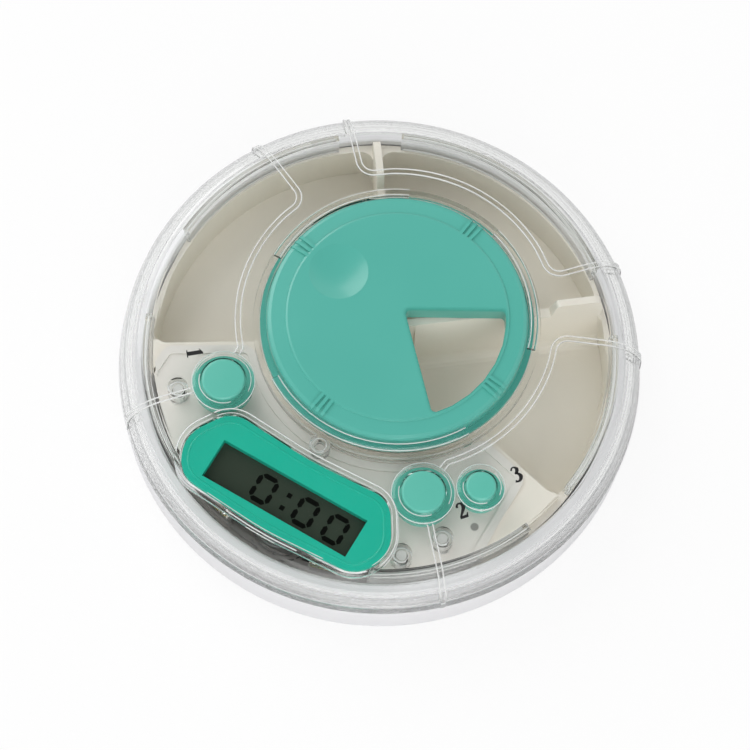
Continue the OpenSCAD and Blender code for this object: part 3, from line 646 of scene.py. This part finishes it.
def solder_blob(x, y, z, radius, tall):
    """A low dome: over a quarter turn the height follows the sine and the radius the cosine to the power 0.7."""
    rings, sides = 7, 16
    t = np.linspace(0, math.pi / 2, rings)[:, None]
    turn = np.linspace(0, 2 * math.pi, sides, endpoint=False)
    reach = radius * np.cos(t) ** 0.7
    reach[-1] = 0.001
    points = np.stack([x + reach * np.cos(turn), y + reach * np.sin(turn), z + tall * np.sin(t) + 0 * turn], axis=-1)
    caps = [list(range(sides - 1, -1, -1)), list(range((rings - 1) * sides, rings * sides))]
    return points.reshape(-1, 3), grid_quads(rings, sides)[:, TURNED], caps


def contact_tails(gold, tin):
    """Plated tails that lie over the module's front wall, and the solder that holds them. The profile's points
    are pairs of radius and height."""
    profile, thick = [(37.2, 11.5), (37.8, 11.5), (38.0, 12.5), (39.85, 12.5)], 0.22
    solder_at, solder_foot, solder_tall = 39.2, 12.7, 0.5
    tails = [folded_strip(angle, width, profile, thick) for angle, width, _ in TAILS]
    blobs = []
    for angle, _, radius in TAILS:
        a = math.radians(angle)
        blobs.append(solder_blob(solder_at * math.cos(a), solder_at * math.sin(a), solder_foot, radius, solder_tall))
    mesh_piece("contact_tails", "lid", gold, join(tails))
    mesh_piece("solder_joints", "lid", tin, join(blobs), smooth=True)


def stroke(path, widths):
    """A pen stroke: path points joined by a Catmull-Rom curve of 40 points, moved to either side by half the
    width, which is interpolated along it."""
    path, widths = np.asarray(path, float), np.asarray(widths, float)
    at = np.linspace(0, len(path) - 1, 40)
    i = np.clip(at.astype(int), 0, len(path) - 2)
    t = (at - i)[:, None]
    before, after = path[np.maximum(i - 1, 0)], path[np.minimum(i + 2, len(path) - 1)]
    a, b = path[i], path[i + 1]
    curve = 0.5 * (2 * a + (b - before) * t + (2 * before - 5 * a + 4 * b - after) * t ** 2
                   + (3 * a - before - 3 * b + after) * t ** 3)
    side = left_normals(curve) * np.interp(at, np.arange(len(widths)), widths)[:, None] / 2
    return np.concatenate([curve - side, (curve + side)[::-1]])


def numeral(which):
    """Outlines of a bold numeral with serifs, one unit high, its foot on y = 0."""
    if which == "1":
        return [[(0.13, 0.06), (0.39, 0.06), (0.39, 1.0), (0.28, 1.0), (0.13, 0.87)],
                [(0.0, 0.78), (0.15, 0.82), (0.15, 0.90), (0.27, 1.0)],
                [(0.02, 0), (0.50, 0), (0.50, 0.07), (0.02, 0.07)]]
    if which == "2":
        bowl = [(0.06, 0.74), (0.13, 0.92), (0.29, 0.96), (0.44, 0.84), (0.43, 0.65), (0.28, 0.40), (0.08, 0.13)]
        foot = [(0.02, 0), (0.52, 0), (0.58, 0.30), (0.52, 0.30), (0.45, 0.18), (0.04, 0.17)]
        return [stroke(bowl, [0.16, 0.12, 0.10, 0.23, 0.24, 0.17, 0.10]), foot]
    upper = [(0.06, 0.80), (0.16, 0.94), (0.31, 0.94), (0.42, 0.79), (0.34, 0.62), (0.20, 0.54)]
    lower = [(0.20, 0.55), (0.37, 0.50), (0.47, 0.31), (0.38, 0.11), (0.20, 0.04), (0.05, 0.11)]
    return [stroke(upper, [0.12, 0.09, 0.10, 0.22, 0.20, 0.09]),
            stroke(lower, [0.07, 0.14, 0.25, 0.20, 0.11, 0.18])]


def button_numbers(material):
    """Numerals printed on the lid beside the buttons: each is moved from its middle to the origin, scaled, turned
    and moved to its place."""
    middle, sunk, proud = (0.27, 0.5), 0.01, 0.02
    outlines = []
    for which, (x, y, turn) in NUMBERS.items():
        c, s = math.cos(turn), math.sin(turn)
        for outline in numeral(which):
            local = (np.asarray(outline, float) - middle) * NUMBER_TALL
            outlines.append(local @ np.array([[c, s], [-s, c]]) + (x, y))
    numbers = plates(outlines, LID_TOP - sunk, LID_TOP + proud)
    mesh_piece("button_numbers", "lid", material, numbers)


def segment(a, b, thick):
    """A six-cornered bar from a to b, whose ends come to a point over half its thickness."""
    a, b = np.asarray(a, float), np.asarray(b, float)
    u = (b - a) / np.linalg.norm(b - a) * thick / 2
    n = np.array([-u[1], u[0]])
    return [a, a + u - n, b - u - n, b, b - u + n, a + u + n]


def display_digits(material):
    """The time 0:00, just above the display's glass: each digit is a ring of six bars, whose ends stay a gap away
    from the corners, and the dots are squares of twice the size dot."""
    wide, tall, thick, gap, dot = 3.1, 4.5, 0.85, 0.14, 0.42
    y, dot_x, ink_thick = -32.62, 0.27, 0.03
    outlines = []
    for x in (-4.05, 4.15, 10.0):
        ring = [(x - wide / 2, y + tall / 2), (x + wide / 2, y + tall / 2), (x + wide / 2, y),
                (x + wide / 2, y - tall / 2), (x - wide / 2, y - tall / 2), (x - wide / 2, y)]
        for p, q in zip(ring, ring[1:] + ring[:1]):
            p, q = np.array(p), np.array(q)
            u = (q - p) / np.linalg.norm(q - p)
            outlines.append(segment(p + u * gap, q - u * gap, thick))
    for dot_y in (-31.4, -33.9):
        outlines.append([(dot_x - dot, dot_y - dot), (dot_x + dot, dot_y - dot),
                         (dot_x + dot, dot_y + dot), (dot_x - dot, dot_y + dot)])
    digits = plates(outlines, DISPLAY_TOP, DISPLAY_TOP + ink_thick)
    mesh_piece("display_digits", "lid", material, digits)


# Scene

camera()
surroundings()
room_floor()
lamp("key", (-0.90, 0.30, 0.75), 1.0, 6.4)
lamp("fill", (0.50, -0.75, 0.55), 0.9, 4.8)

white = plastic("case white", (0.77, 0.768, 0.785), roughness=0.30, grain=0.3, depth=0.003, subsurface=0.15)
cream = plastic("tray cream", (0.92, 0.875, 0.785), roughness=0.38, grain=0.3, depth=0.004, subsurface=0.2)
module = plastic("module white", (0.87, 0.835, 0.785), roughness=0.42, grain=0.35, depth=0.006, subsurface=0.2)
teal = plastic("dial teal", (0.094, 0.475, 0.395), roughness=0.28, grain=0.35, depth=0.004, coat=0.35)
button_teal = plastic("button teal", (0.115, 0.53, 0.425), roughness=0.30, grain=0.35, depth=0.003, coat=0.3)
bezel = plastic("bezel teal", (0.010, 0.51, 0.36), roughness=0.22, grain=0.35, depth=0.003)
plate_finish = plastic("plate white", (0.87, 0.835, 0.785), roughness=0.42, grain=0.35, depth=0.006, subsurface=0.2)
plate_pin_mark_and_shade(plate_finish)
clear = clear_plastic()
black = plastic("black plastic", (0.012, 0.012, 0.014), roughness=0.4, grain=0.3, depth=0.004)
rubber = plastic("carbon rubber", (0.016, 0.016, 0.017), roughness=0.7, grain=0.15, depth=0.004)
silicone = plastic("silicone", (0.55, 0.55, 0.54), roughness=0.55, grain=0.3, depth=0.003)
strip = plastic("layered rubber", (0.45, 0.14, 0.16), roughness=0.6, grain=0.1, depth=0.01, shade=0.3)
steel = metal("plated steel", (0.72, 0.72, 0.73))
zinc = plastic("zinc plate", (0.80, 0.80, 0.78), roughness=0.24, grain=0.2, depth=0.002, coat=0.3)
brass = metal("brass", (0.70, 0.56, 0.30))
tin = metal("solder", (0.74, 0.74, 0.72), roughness=0.22)
board = board_finish()
display = display_face()
ink = plastic("black ink", (0.008, 0.008, 0.009), roughness=0.5, grain=0.1, depth=0.001)
segments = plastic("display segments", (0.003, 0.004, 0.003), roughness=0.6, grain=0.1, depth=0.0005, gloss=0.0)

dress(white, "base_shell")
dress(cream, "compartment_tray")
dress(clear, "clear_cover")
dress(module, "dial_retaining_ring", "module_back", "battery_door")
dress(plate_finish, "module_plate")
dress(teal, "selector_dial")
dress(button_teal, "button_cap_left", "button_cap_right", "button_cap_small")
dress(bezel, "display_bezel")
dress(display, "lcd_glass")
dress(strip, "lcd_connector_strips")
dress(rubber, "contact_puck_left", "contact_puck_right", "contact_puck_small", "battery_door_seal")
dress(silicone, "button_domes")
dress(board, "circuit_board")
dress(black, "controller_chip", "cell_holder")
dress(steel, "quartz_crystal", "button_cell", "cell_contact_top", "cell_contact_side")
dress(zinc, "module_screws")
dress(brass, "piezo_buzzer")

# White wires on the lid's beads, collars, window, posts and skirts: painted highlights
edge = edge_highlight_finish()
bead_highlights(edge)
collar_highlights(edge)
window_highlights(edge)
post_highlights(edge)
skirt_highlights(edge)
bezel_line(bezel)
contact_tails(brass, tin)
button_numbers(ink)
display_digits(segments)

scene.view_settings.view_transform = "Standard"
